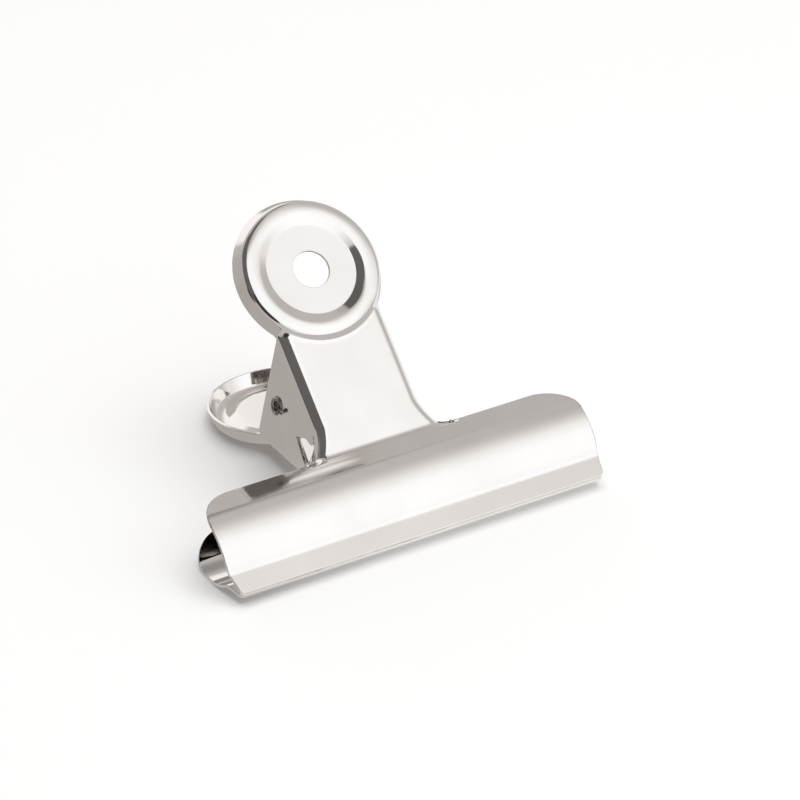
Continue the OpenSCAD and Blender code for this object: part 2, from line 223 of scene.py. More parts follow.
def blank_columns(half):
    """Columns of half the blank, from the middle out: place across, and distance up to the top edge."""
    flat = np.linspace(0, half - fold_out, flat_cols)
    soft = np.linspace(0, soft_len, soft_cols)[1:]
    bevel = soft_len + np.linspace(0, bevel_len, bevel_cols)[1:]
    sharp = soft_len + bevel_len + np.linspace(0, round_len, sharp_cols)[1:]
    fold = half - fold_out + np.concatenate([soft, bevel, sharp])
    strip = fold[-1] + np.linspace(0, strip_w, strip_cols)[1:]
    turn = np.radians(np.linspace(0, 90, turn_cols)[1:])
    flare = strip[-1] + flare_w * (1 - np.cos(turn))
    corner_x = jaw_half - jaw_corner_r
    flank = np.linspace(flare[-1], corner_x, flank_cols)[1:]
    corner = corner_x + jaw_corner_r * np.sin(turn)
    corner_z = bulge_r * math.sin(math.radians(flank_lean)) - jaw_corner_r * (1 - np.cos(turn))
    corner_top = s_bulge + bulge_r * (math.radians(bulge_lean) + np.arcsin(corner_z / bulge_r))
    on_band = s_band + (corner_z + bulge_c[1] - band_foot[1]) / along(touch_lean)[1]
    corner_top = np.where(on_band > s_band, on_band, corner_top)
    neck = np.concatenate([flat, fold, strip])
    top = np.concatenate([
        np.full(len(neck), s_seam),
        s_flank + (s_seam - s_flank) * (1 - np.sin(turn)),
        np.full(len(flank), s_flank),
        corner_top,
    ])
    return np.concatenate([neck, flare, flank, corner]), top, len(flat) + len(fold), len(neck)


# %% A place on the blank, folded
def fold_run(bent, part, steps=240):
    """Run across and sink of a fold after a length of it, when it has made part of its two turns."""
    across, sink = np.zeros_like(bent), np.zeros_like(bent)
    for i in range(steps):
        at = bent * (i + 0.5) / steps
        turn = fold_turn * np.clip(at / soft_len, 0, 1)
        turn += rest_turn * np.clip((at - soft_len - bevel_len) / round_len, 0, 1)
        across += bent / steps * np.cos(part * turn)
        sink += bent / steps * np.sin(part * turn)
    return across, sink


def blank_point(half, x, s):
    """Standing point of the front leaf for a place on its blank: x from the middle, s up from the lip."""
    edge = half - fold_out + fold_len + strip_w
    share = smooth((x - edge) / flare_w)
    part = smooth((s - s_open) / (s_shut - s_open)) * (1 - share)
    past = np.maximum(x - (half - fold_out), 0)
    bent = np.minimum(past, fold_len)
    across, sink = fold_run(bent, part)
    across += np.minimum(x, half - fold_out) + (past - bent) * np.cos(part * math.pi / 2)
    low = np.clip((s_seam - s) / (s_seam - s_touch), 0, 1) ** spread_power
    low *= smooth((s - s_belly) / (s_touch - s_belly))
    reach = np.minimum(x / (half - fold_out), 1) ** 2 * (1 - smooth((x - edge - flare_w) / spread_fade))
    across += neck_spread * low * reach
    sink += (past - bent) * np.sin(part * math.pi / 2)
    side = (1 - share)[..., None] * up_neck(s) + share[..., None] * up_flank(s)
    side = side - sink[..., None] * outward(handle_lean)
    narrow = 1 - lip_inset / jaw_half * (1 - smooth(up_flank(s)[..., 1] / (bulge_c[1] - jaw_corner_r)))
    return np.concatenate([(across * narrow)[..., None], side], axis=-1)


# %% The net of the lower patch
lip_rows, bend_rows, belly_rows, top_rows = 9, 13, 15, 73


def lower_patch(half):
    """Net of points of one half of the jaw and the neck's root, as columns by rows."""
    x, top, n_head, n_neck = blank_columns(half)
    lip_half = jaw_half - lip_inset
    reach = np.clip(x * lip_half / jaw_half - (lip_half - lip_corner_r), 0, lip_corner_r)
    bottom = lip_corner_r - np.sqrt(lip_corner_r**2 - reach**2)
    rows = [bottom[:, None] + (s_bend - bottom)[:, None] * np.linspace(0, 1, lip_rows)]
    for low, high, count in ((s_bend, s_bulge, bend_rows), (s_bulge, s_belly, belly_rows)):
        rows.append(np.broadcast_to(np.linspace(low, high, count)[1:], (len(x), count - 1)))
    rows.append(s_belly + (top - s_belly)[:, None] * np.linspace(0, 1, top_rows)[1:])
    s = np.concatenate(rows, axis=1)
    return blank_point(half, np.broadcast_to(x[:, None], s.shape), s), n_head, n_neck


# %% [markdown]
# ## The head and the folded neck
# The head is a shallow dish with a turned-down rim, the neck a plate with both sides folded back, and the
# press blends them with a soft inside corner. Seen in section the free rim is a wide low brow, one tight
# bend and a straight skirt that opens outward; above the neck the rim is a plain round roll. Two distance
# fields, joined by a smooth minimum, describe exactly that blend. The upper patch follows it outward from
# the hanging hole along a fan of rays, each in small steps along the surface.

# %% Section of the rim: brow, bend and skirt
rim_bend, brow_turn, skirt_draft = 1.4, math.radians(14.0), math.radians(22.0)
roll_arc, skirt_arc = 38.0, 58.0
skirt_foot = np.array([rim_r, -roll_depth])
skirt_way = np.array([math.sin(skirt_draft), -math.cos(skirt_draft)])
skirt_face = np.array([math.cos(skirt_draft), math.sin(skirt_draft)])
brow_face = np.array([math.sin(brow_turn), math.cos(brow_turn)])
crest = np.array([roll_c, ring_rise])
corner_gap = skirt_foot - rim_bend * (skirt_face - brow_face) - crest
brow_r, skirt_len = np.linalg.solve(np.stack([brow_face - [0.0, 1.0], skirt_way], axis=1), corner_gap)
bend_at = skirt_foot - skirt_len * skirt_way - rim_bend * skirt_face
print("rim: brow radius", round(brow_r, 2), "mm, skirt", round(skirt_len, 2), "mm, bend at", bend_at.round(2))

# %% Distance to the head, to the neck and to their blend
blend_w, neck_end = 0.5, -rim_r / 2


def head_distance(x, up, out):
    """Distance to the head. Its free rim is a brow, a bend and a skirt, and beside the neck a roll."""
    r = np.hypot(x, up)
    brow_x, brow_w = np.maximum(r - roll_c, 0), out - ring_rise + brow_r
    bend_x, bend_w = r - bend_at[0], out - bend_at[1]
    brow = np.hypot(brow_x, brow_w) - brow_r
    bend = np.hypot(bend_x, bend_w) - rim_bend
    skirt = bend_x * skirt_face[0] + bend_w * skirt_face[1] - rim_bend
    on_skirt = bend_x * skirt_way[0] + bend_w * skirt_way[1] > 0
    free = np.where(brow_x * brow_face[1] < brow_w * brow_face[0], brow, np.where(on_skirt, skirt, bend))
    roll_w = out + roll_depth
    roll = np.where(roll_w > 0, np.hypot(brow_x, roll_w) - roll_r, r - rim_r)
    aside = smooth((np.degrees(np.arctan2(np.abs(x), -up)) - roll_arc) / (skirt_arc - roll_arc))
    return roll + (free - roll) * aside


def neck_distance(half, x, up, out):
    """Distance to the neck, whose section is a flat top, a soft bend, a bevel, a sharp bend and a side."""
    fold_x, fold_z = np.abs(x) - (half - fold_w), out + neck_drop
    sin, cos = math.sin(fold_turn), math.cos(fold_turn)
    soft_x, soft_z = fold_x + soft_cut, fold_z + fold_soft
    top = np.where(soft_x < 0, fold_z, np.hypot(soft_x, soft_z) - fold_soft)
    sharp_x, sharp_z = fold_x - fold_w + fold_round, fold_z + fold_deep
    side = np.where(sharp_z < 0, sharp_x, np.hypot(sharp_x, sharp_z)) - fold_round
    bevel = fold_x * sin + fold_z * cos
    past_bevel = np.where(sharp_x * cos > sharp_z * sin, side, bevel)
    return np.maximum(np.where(soft_x * cos < soft_z * sin, top, past_bevel), up - neck_end)


def blend_distance(half, x, up, out):
    """Distance to head and neck together, with a soft inside corner between them."""
    head, neck = head_distance(x, up, out), neck_distance(half, x, up, out)
    near = np.maximum(blend_w - np.abs(head - neck), 0) / blend_w
    return np.minimum(head, neck) - near * near * blend_w / 4


# %% Rays of the upper patch, traced over the blend
def trace_rays(half, angle, stop_r, stop_out, step=0.04, steps=620, pulls=2, probe=1e-4, least=1e-9):
    """Walks each ray from the raised ring outward until it is stop_r away or as deep as stop_out."""
    sin, cos = np.sin(angle), -np.cos(angle)

    def field(r, w):
        return blend_distance(half, r * sin, r * cos, w)

    def slope(r, w):
        over_r = (field(r + probe, w) - field(r - probe, w)) / (2 * probe)
        over_w = (field(r, w + probe) - field(r, w - probe)) / (2 * probe)
        return over_r, over_w

    r, w = np.full(len(angle), roll_c), np.full(len(angle), ring_rise)
    path = [np.stack([r, w], -1)]
    done = np.zeros(len(angle), bool)
    for _ in range(steps):
        over_r, over_w = slope(r, w)
        steep = np.hypot(over_r, over_w)
        next_r, next_w = r + step * over_w / steep, w - step * over_r / steep
        for _ in range(pulls):
            off = field(next_r, next_w)
            over_r, over_w = slope(next_r, next_w)
            steep = over_r * over_r + over_w * over_w
            next_r, next_w = next_r - off * over_r / steep, next_w - off * over_w / steep
        part = np.minimum(
            np.where(next_r > stop_r, (stop_r - r) / np.maximum(next_r - r, least), 1),
            np.where(next_w < stop_out, (stop_out - w) / np.minimum(next_w - w, -least), 1),
        )
        next_r, next_w = r + (next_r - r) * part, w + (next_w - w) * part
        r, w = np.where(done, r, next_r), np.where(done, w, next_w)
        done |= part < 1
        path.append(np.stack([r, w], -1))
        if done.all():
            break
    return np.stack(path, axis=1)


def evened(path, count, crowd=3.0, sharpest=1.0, window=25, still=1e-7):
    """Points of each path again, closer together where it bends."""
    out = []
    for p in path:
        d = np.diff(p, axis=0)
        d = d[np.hypot(*d.T) > still]
        p = np.concatenate([p[:1], p[0] + np.cumsum(d, axis=0)])
        length = np.hypot(*d.T)
        heading = np.unwrap(np.arctan2(d[:, 1], d[:, 0]))
        bend = np.minimum(np.abs(np.gradient(heading)) / length, sharpest)
        bend = np.convolve(np.pad(bend, window // 2, mode="edge"), np.ones(window) / window, mode="valid")
        run = np.concatenate([[0], np.cumsum(length * (1 + crowd * bend))])
        at = np.linspace(0, run[-1], count)
        out.append(np.stack([np.interp(at, run, p[:, k]) for k in (0, 1)], -1))
    return np.array(out)


# %% Section of the dish
flat_steps, hollow_steps, slope_steps, ring_steps = 8, 8, 5, 15


def dish_profile():
    """Outer face of the dish from the hanging hole to the raised ring, as radius and height."""
    run, rise = roll_c - flat_r, roll_depth + dish_r
    turn = math.degrees(math.atan2(run, rise) - math.acos((dish_r + roll_r) / math.hypot(run, rise)))
    flat = np.stack([np.linspace(hole_r, flat_r, flat_steps), np.zeros(flat_steps)], -1)
    hollow = np.array([flat_r, dish_r]) + polar(dish_r, np.linspace(-90, -90 + turn, hollow_steps)[1:])
    ring = np.array([roll_c, -roll_depth]) + polar(roll_r, np.linspace(90 + turn, 90, ring_steps))
    slope = hollow[-1] + (ring[0] - hollow[-1]) * np.linspace(0, 1, slope_steps)[1:-1, None]
    return np.concatenate([flat, hollow, slope, ring])


print("dish:", len(dish_profile()), "points from the hole to the raised ring")

# %% The upper patch as a fan of rays
side_rays, rim_rays, ray_points, rim_crowd = 27, 61, 62, 1.15
waist_gap, settle_len, never = 0.5, 4.0, 99.0


def upper_patch(half):
    """Rays of one half of the head and neck, from straight down the neck to straight up the head."""
    x = blank_columns(half)[0]
    bent = np.clip(x - (half - fold_out), 0, fold_len)
    seam_x = np.unique((np.minimum(x, half - fold_out) + fold_run(bent, np.ones_like(bent))[0]).round(5))
    side_up = np.linspace(seam_up, -math.sqrt(rim_r**2 - half**2) - waist_gap, side_rays)[1:]
    waist = math.atan2(half, -side_up[-1])
    rim = waist + (math.pi - waist) * np.linspace(0, 1, rim_rays)[1:] ** rim_crowd
    angle = np.concatenate([np.arctan2(seam_x, -seam_up), np.arctan2(half, -side_up), rim])
    n_seam, n_side = len(seam_x), len(side_up)
    deep, rim_deep = -neck_drop - fold_deep, -roll_depth
    side_deep = rim_deep + (deep - rim_deep) * smooth((side_up[-1] - side_up) / settle_len)
    stop_out = np.concatenate([np.full(n_seam, -never), side_deep, np.full(len(rim), rim_deep)])
    stop_r = np.concatenate([-seam_up / np.cos(angle[:n_seam]), np.full(n_side + len(rim), never)])
    stop_out[n_seam - 1] = deep
    walked = evened(trace_rays(half, angle, stop_r, stop_out), ray_points)
    dish = np.broadcast_to(dish_profile(), (len(angle), len(dish_profile()), 2))
    profile = np.concatenate([dish, walked[:, 1:]], axis=1)
    r, out = profile[..., 0], profile[..., 1]
    return from_head(r * np.sin(angle)[:, None], -r * np.cos(angle)[:, None], out), n_seam, n_side


# %% [markdown]
# ## The ears
# Below the folds the sides of the neck run on as flat ears, one pair outside and one inside, with a hole
# for the coil. A flat plate mirrors cleanly however it is cut into triangles, so an ear is just its
# outline, filled.

# %% Corners of an outline, rounded
def rounded(points, step=8.0):
    """Open outline with its corners rounded. Each point is y, z and a radius, and both ends stay sharp."""
    out = []
    for i, (y, z, r) in enumerate(points):
        p = np.array([y, z])
        if r <= 0 or i in (0, len(points) - 1):
            out.append(p[None])
            continue
        a, b = (np.array(points[j][:2]) - p for j in (i - 1, i + 1))
        a, b = a / np.linalg.norm(a), b / np.linalg.norm(b)
        half_turn = math.acos(a @ b) / 2
        c = p + (a + b) / np.linalg.norm(a + b) * r / math.sin(half_turn)
        first, last = p + a * r / math.tan(half_turn) - c, p + b * r / math.tan(half_turn) - c
        turn = math.atan2(first[0] * last[1] - first[1] * last[0], first @ last)
        count = max(3, int(math.degrees(abs(turn)) / step))
        angle = math.atan2(first[1], first[0]) + turn * np.linspace(0, 1, count)
        out.append(c + r * np.stack([np.cos(angle), np.sin(angle)], -1))
    return np.concatenate(out)


# %% Outline of an ear
foot_trim = 1.4
tongue_up, tongue_out, tongue_r = (-28.2, -30.6), (0.9, -0.4), 1.0


def ear_edge(start, end, trim):
    """Free edge of an ear, from the waist round its tip, foot and relief to the strip beside the flare."""
    corners = (ear_tip, ear_foot + foot_w, ear_foot)
    trims = (trim, foot_trim * trim, foot_trim * trim)
    tip_at, heel_at, toe_at = (pivot + p * (1 - cut / np.linalg.norm(p)) for p, cut in zip(corners, trims))
    notch = pivot + relief - np.array([trim, 0.0])
    depth = neck_drop + flange_depth
    tongue = [(*from_head(0, up, -depth - out)[1:], tongue_r) for up, out in zip(tongue_up, tongue_out)]
    return rounded([
        (*start, 0), (*tip_at, tip_round), (*heel_at, tip_round / 2), (*toe_at, tip_round / 4),
        (*notch, tip_round / 4), *(tongue if trim == 0 else []), (*end, 0),
    ])


# %% [markdown]
# ## From skin to sheet
# The patches are welded into one open skin, the outer face of the leaf. Moving each point back along its
# normal by the sheet's thickness gives the inner face, and a small round closes the cut edges, as a press
# and a barrel polish leave them. The normals are kept, because they are truer than any that could be
# guessed from the faces.

# %% Nets and ears as faces
bore_sides = 60


def add_net(bm, net, closed=False):
    """Adds a net of points as faces."""
    verts = [[bm.verts.new(p) for p in line] for line in net]
    lines = verts + verts[:1] if closed else verts
    for a, b in zip(lines, lines[1:]):
        for i in range(len(a) - 1):
            bm.faces.new((a[i], a[i + 1], b[i + 1], b[i]))


def mirrored(net):
    return net * np.array([-1.0, 1.0, 1.0])


def add_ear(bm, fold_line, seam_strip, trim, side):
    """Fills one ear between the fold, the strip beside the flare and its own free edge."""
    x = fold_line[0][0]
    edge = ear_edge(fold_line[-1][1:], seam_strip[-1][1:], trim)[1:-1]
    edge = np.concatenate([np.full((len(edge), 1), x), edge], axis=1)
    loop = np.concatenate([fold_line, edge, seam_strip[::-1][:-1]])
    turns = np.linspace(0, 360, bore_sides + 1)[:-1]
    bore = pivot + polar(coil_d / 2 + pivot_clear, turns)
    bore = np.concatenate([np.full((bore_sides, 1), x), bore], axis=1)
    edges = []
    for ring in (loop, bore):
        verts = [bm.verts.new(p * np.array([side, 1.0, 1.0])) for p in ring]
        edges += [bm.edges.new((verts[i - 1], verts[i])) for i in range(len(verts))]
    bmesh.ops.triangle_fill(bm, use_beauty=True, use_dissolve=False, edges=edges, normal=(side, 0, 0))


# %% Weld the patches of one leaf
weld_gap = 2e-3


def leaf_skin(half, trim):
    """Open outer skin of the standing front leaf."""
    bm = bmesh.new()
    jaw, n_head, n_neck = lower_patch(half)
    fan, n_seam, n_side = upper_patch(half)
    add_net(bm, np.concatenate([mirrored(jaw[:0:-1]), jaw]))
    add_net(bm, np.concatenate([fan, mirrored(fan[-2:0:-1])]), closed=True)
    fold_line = fan[n_seam - 1 : n_seam + n_side, -1]
    seam_strip = jaw[n_head - 1 : n_neck, -1]
    for side in (1.0, -1.0):
        add_ear(bm, fold_line, seam_strip, trim, side)
    bmesh.ops.remove_doubles(bm, verts=bm.verts, dist=weld_gap)
    bmesh.ops.recalc_face_normals(bm, faces=bm.faces)
    bm.normal_update()
    on_flat = Vector(from_head(0, (flat_r + hole_r) / 2, 0))
    nearest = min(bm.verts, key=lambda v: (v.co - on_flat).length)
    if nearest.normal @ Vector((0, *outward(handle_lean))) < 0:
        bmesh.ops.reverse_faces(bm, faces=bm.faces)
        bm.normal_update()
    return bm


# %% Give the skin its thickness and round its cut edges
edge_round, round_steps = 0.1, 3


def cut_edges(bm, co):
    """Cut edges of the skin as pairs of points, those points in order, and each one's way off the edge."""
    away = np.zeros_like(co)
    pairs = []
    for e in bm.edges:
        if len(e.link_faces) != 1:
            continue
        loop = e.link_loops[0]
        a, b = loop.vert.index, loop.link_loop_next.vert.index
        pairs.append((a, b))
        out = np.cross(co[b] - co[a], e.link_faces[0].normal[:])
        out /= np.linalg.norm(out)
        away[a] += out
        away[b] += out
    rim = sorted({i for pair in pairs for i in pair})
    away[rim] /= np.linalg.norm(away[rim], axis=1)[:, None]
    return pairs, rim, away


def thicken(bm):
    """Points, faces and normals of the closed sheet that has this skin as its outer face."""
    bm.verts.index_update()
    co = np.array([v.co[:] for v in bm.verts])
    normal = np.array([v.normal[:] for v in bm.verts])
    faces = [[v.index for v in f.verts] for f in bm.faces]
    pairs, rim, away = cut_edges(bm, co)
    co -= edge_round * away
    n = len(co)
    points, normals = [co, co - sheet_t * normal], [normal, -normal]
    polys = faces + [[i + n for i in reversed(f)] for f in faces]
    place = {v: k for k, v in enumerate(rim)}
    bead = np.radians(np.linspace(0, 90, round_steps + 1))[1:]
    turns = [(a, edge_round) for a in bead]
    turns += [(math.pi / 2 + a, sheet_t - edge_round) for a in np.concatenate([[0], bead[:-1]])]
    rings = [rim]
    count = 2 * n
    for a, depth in turns:
        lift = math.sin(a) * away[rim] + math.cos(a) * normal[rim]
        points.append(co[rim] - depth * normal[rim] + edge_round * lift)
        normals.append(lift)
        rings.append(list(range(count, count + len(rim))))
        count += len(rim)
    rings.append([i + n for i in rim])
    for upper, lower in zip(rings, rings[1:]):
        for a, b in pairs:
            polys.append([upper[place[b]], upper[place[a]], lower[place[a]], lower[place[b]]])
    return np.concatenate(points), polys, np.concatenate(normals)


# %% Both leaves
def put_in_scene(name, data):
    obj = bpy.data.objects.new(name, data)
    bpy.context.scene.collection.objects.link(obj)
    return obj


def make_leaf(name, half, trim, to_rear):
    """Closed leaf as a mesh object at its place in the lying clip."""
    bm = leaf_skin(half, trim)
    points, polys, normals = thicken(bm)
    bm.free()
    if to_rear:
        flip = np.array([1.0, -1.0, 1.0])
        points, normals = points * flip, normals * flip
        polys = [p[::-1] for p in polys]
    mesh = bpy.data.meshes.new(name)
    mesh.from_pydata(laid_down(points).tolist(), [], polys)
    mesh.validate()
    turned = laid_down(normals) - laid_down(np.zeros(3))
    turned /= np.linalg.norm(turned, axis=1)[:, None]
    mesh.polygons.foreach_set("use_smooth", [True] * len(mesh.polygons))
    mesh.normals_split_custom_set_from_vertices(turned.tolist())
    return put_in_scene(name, mesh)


front = make_leaf("front_leaf_sheet", neck_half, 0.0, False)
rear = make_leaf("rear_leaf_sheet", neck_half - sheet_t - ear_gap, inner_trim, True)
for leaf in (front, rear):
    print(leaf.name, len(leaf.data.polygons), "faces")

# %% [markdown]
# ## The spring
# One length of wire is wound as a coil inside the left ears, runs out as a hairpin under the rear neck,
# comes back to a longer coil in the middle, and does the same once more under the front neck. The coil
# fills the ears' holes, so the spring is also the hinge pin. Blender sweeps a round section along that
# path with Geometry Nodes, so the gauge of the wire and the smoothness of its section stay open to change
# until the mesh is taken.

# %% The path of the wire
coil_r = (coil_d - wire_d) / 2
leg_dir = leg_lean - handle_lean
hairpin_r = math.hypot(leg_step, 2 * coil_r) / 2
leg_across, leg_along = polar(1.0, 90.0 - leg_lean)
hairpin_lift = math.hypot(leg_across * coil_r, leg_along * hairpin_r)
neck_reach = (pivot - crease) @ -outward(handle_lean) - sheet_t
leg_len = (neck_reach - leg_gap - wire_d / 2 - hairpin_lift) / leg_along
rear_leave, front_leave = leg_dir - 90, 90 - leg_dir
mid_sweep = 360 * mid_turns + front_leave - rear_leave - 180
mid_half = coil_pitch * mid_sweep / 720
end_sweep = 360 * end_turns
end_x = mid_half + leg_step + coil_pitch * end_turns


def coil_run(x, start, sweep, step=7.5):
    angle = np.linspace(0, sweep, math.ceil(sweep / step) + 1)
    across = x + coil_pitch * angle / 360
    return np.concatenate([across[:, None], pivot + polar(coil_r, start + angle)], axis=1)


def leg_run(x, leave, steps=24):
    heading = np.array([0.0, *polar(1.0, leave + 90)])
    ends = ((x, leave), (x + leg_step, leave + 180))
    a, b = (np.array([at, *(pivot + polar(coil_r, turn))]) for at, turn in ends)
    middle = (a + b) / 2 + leg_len * heading
    turn = np.linspace(0, math.pi, steps + 1)[:, None]
    return middle + (a - b) / 2 * np.cos(turn) + hairpin_r * heading * np.sin(turn)


wire_path = np.concatenate([
    coil_run(-end_x, rear_leave, end_sweep),
    leg_run(-mid_half - leg_step, rear_leave),
    coil_run(-mid_half, rear_leave + 180, mid_sweep),
    leg_run(mid_half, front_leave),
    coil_run(mid_half + leg_step, front_leave + 180, end_sweep),
])
wire_long = np.linalg.norm(np.diff(wire_path, axis=0), axis=1).sum()
print("wire:", len(wire_path), "points,", round(wire_long, 1), "mm long")


# %% One function that adds a node, and one that reads a colour
def add_node(tree, kind, inputs=None, **settings):
    """Adds a node with its settings. An input that is another node's output is linked, else it is a value."""
    node = tree.nodes.new(kind)
    for name, value in settings.items():
        setattr(node, name, value)
    for key, value in (inputs or {}).items():
        if isinstance(value, bpy.types.NodeSocket):
            tree.links.new(value, node.inputs[key])
        else:
            node.inputs[key].default_value = value
    return node


def linear(hex_colour):
    """Linear colour of an sRGB hex colour."""
    values = [int(hex_colour[i : i + 2], 16) / 255 for i in (1, 3, 5)]
    return (*(v / 12.92 if v <= 0.04045 else ((v + 0.055) / 1.055) ** 2.4 for v in values), 1.0)


# %% [markdown]
# ## Two finishes
# The leaves are nickel plated over polished steel: a mirror, but a slightly wavy one, with a haze that
# comes and goes and hairlines from handling. The spring is drawn wire, greyer and rougher, with faint
# streaks from the die. Both patterns are laid out in the clip's own coordinates and in real sizes, so
# they stay put as it moves. Real hairlines and die streaks are too fine for the picture, so they are
# drawn as coarse as they need to be to show.

# %% Patterns of the plate
# A noise keeps mostly between these two values.
noise_low, noise_high = 0.3, 0.7


def new_material(name):
    material = bpy.data.materials.new(name)
    material.use_nodes = True
    material.node_tree.nodes.clear()
    return material, material.node_tree


plate, tree = new_material("nickel_plate")
coords = add_node(tree, "ShaderNodeTexCoord").outputs["Object"]
plate_patterns = (
    ("tone", 9.0, 2.0, 1.0),
    ("haze", 6.0, 4.0, 1.0),
    ("wave", 4.0, 1.0, 1.0),
    ("hairline", 0.12, 2.0, 0.03),
)
pattern = {}
# A pattern has its size in millimetres and its detail, and a squeeze below 1 draws it out along the jaw.
for title, size_mm, detail, squeeze in plate_patterns:
    scale = mm_per_m / size_mm
    laid = add_node(tree, "ShaderNodeMapping", {"Vector": coords, "Scale": (scale * squeeze, scale, scale)})
    noise = add_node(
        tree, "ShaderNodeTexNoise",
        {"Vector": laid.outputs["Vector"], "Scale": 1.0, "Detail": detail}, label=title,
    )
    pattern[title] = noise.outputs["Fac"]
print("patterns of the plate:", ", ".join(pattern))

# %% Bright nickel plate
plate_dark, plate_light = linear("#EEEBE8"), linear("#F3F0EE")
haze_low, haze_high = 0.04, 0.08
wave_deep, hairline_deep = 0.0012, 0.00006
for title, low, high in (("tone", 0.0, 1.0), ("haze", haze_low, haze_high)):
    spread = add_node(
        tree, "ShaderNodeMapRange",
        {
            "Value": pattern[title], "From Min": noise_low, "From Max": noise_high,
            "To Min": low, "To Max": high,
        },
    )
    pattern[title] = spread.outputs["Result"]
tone = add_node(
    tree, "ShaderNodeMix", {"Factor": pattern["tone"], "A": plate_dark, "B": plate_light}, data_type="RGBA"
)
wave = add_node(
    tree, "ShaderNodeBump", {"Height": pattern["wave"], "Distance": wave_deep / mm_per_m, "Strength": 1.0}
)
hairlines = add_node(
    tree, "ShaderNodeBump",
    {
        "Height": pattern["hairline"], "Distance": hairline_deep / mm_per_m, "Strength": 1.0,
        "Normal": wave.outputs["Normal"],
    },
)
shader = add_node(
    tree, "ShaderNodeBsdfPrincipled",
    {
        "Base Color": tone.outputs["Result"], "Metallic": 1.0, "Roughness": pattern["haze"],
        "Normal": hairlines.outputs["Normal"],
    },
)
add_node(tree, "ShaderNodeOutputMaterial", {"Surface": shader.outputs["BSDF"]})
print(plate.name, len(tree.nodes), "nodes")

# %% Drawn spring wire
wire_dark, wire_light = linear("#8B8783"), linear("#B5B1AD")
wire_rough_low, wire_rough_high = 0.14, 0.26
streak_size, streak_detail, streak_deep = 0.25, 3.0, 0.002
drawn, tree = new_material("drawn_wire")
coords = add_node(tree, "ShaderNodeTexCoord").outputs["Object"]
laid = add_node(tree, "ShaderNodeMapping", {"Vector": coords, "Scale": (mm_per_m / streak_size,) * 3})
noise = add_node(
    tree, "ShaderNodeTexNoise", {"Vector": laid.outputs["Vector"], "Scale": 1.0, "Detail": streak_detail}
)
streak = noise.outputs["Fac"]
pattern = {}
for title, low, high in (("tone", 0.0, 1.0), ("rough", wire_rough_low, wire_rough_high)):
    spread = add_node(
        tree, "ShaderNodeMapRange",
        {"Value": streak, "From Min": noise_low, "From Max": noise_high, "To Min": low, "To Max": high},
    )
    pattern[title] = spread.outputs["Result"]
tone = add_node(
    tree, "ShaderNodeMix", {"Factor": pattern["tone"], "A": wire_dark, "B": wire_light}, data_type="RGBA"
)
grooves = add_node(
    tree, "ShaderNodeBump", {"Height": streak, "Distance": streak_deep / mm_per_m, "Strength": 1.0}
)
shader = add_node(
    tree, "ShaderNodeBsdfPrincipled",
    {
        "Base Color": tone.outputs["Result"], "Metallic": 1.0, "Roughness": pattern["rough"],
        "Normal": grooves.outputs["Normal"],
    },
)
add_node(tree, "ShaderNodeOutputMaterial", {"Surface": shader.outputs["BSDF"]})
print(drawn.name, len(tree.nodes), "nodes")

# %% [markdown]
# ## Sweeping the wire
# The node group takes the path as loose edges, turns it into a curve, and sweeps a circle along it. The
# gauge, the number of sides and the finish are its inputs. The result is taken as a plain mesh and the
# modifier goes.

# %% The sweep as a node group
sweep = bpy.data.node_groups.new("swept_wire", "GeometryNodeTree")
for title, kind in (
    ("Path", "NodeSocketGeometry"), ("Gauge", "NodeSocketFloat"), ("Sides", "NodeSocketInt"),
    ("Finish", "NodeSocketMaterial"),
):
    sweep.interface.new_socket(title, in_out="INPUT", socket_type=kind)
sweep.interface.new_socket("Wire", in_out="OUTPUT", socket_type="NodeSocketGeometry")
given = add_node(sweep, "NodeGroupInput").outputs
radius = add_node(sweep, "ShaderNodeMath", {0: given["Gauge"], 1: 0.5}, operation="MULTIPLY")
curve = add_node(sweep, "GeometryNodeMeshToCurve", {"Mesh": given["Path"]})
section = add_node(
    sweep, "GeometryNodeCurvePrimitiveCircle",
    {"Resolution": given["Sides"], "Radius": radius.outputs["Value"]},
)
tube = add_node(
    sweep, "GeometryNodeCurveToMesh",
    {"Curve": curve.outputs["Curve"], "Profile Curve": section.outputs["Curve"], "Fill Caps": True},
)
real = add_node(sweep, "GeometryNodeRealizeInstances", {"Geometry": tube.outputs["Mesh"]})
painted = add_node(
    sweep, "GeometryNodeSetMaterial", {"Geometry": real.outputs["Geometry"], "Material": given["Finish"]}
)
add_node(sweep, "NodeGroupOutput", {"Wire": painted.outputs["Geometry"]})
print(sweep.name, len(sweep.nodes), "nodes")

# %% Take the spring's mesh
wire_sides = 20
path_mesh = bpy.data.meshes.new("wire_path")
path_mesh.from_pydata(laid_down(wire_path).tolist(), [(i, i + 1) for i in range(len(wire_path) - 1)], [])
guide = put_in_scene("wire_path", path_mesh)
swept = guide.modifiers.new("swept_wire", "NODES")
swept.node_group = sweep
sockets = {item.name: item.identifier for item in sweep.interface.items_tree if item.in_out == "INPUT"}
swept[sockets["Gauge"]] = wire_d / mm_per_m
swept[sockets["Sides"]] = wire_sides
swept[sockets["Finish"]] = drawn
evaluated = guide.evaluated_get(bpy.context.evaluated_depsgraph_get())
spring = put_in_scene("torsion_spring_wire", bpy.data.meshes.new_from_object(evaluated))
guide.modifiers.remove(swept)
bpy.data.objects.remove(guide)
spring.data.polygons.foreach_set("use_smooth", [True] * len(spring.data.polygons))
print(spring.name, len(spring.data.polygons), "faces")
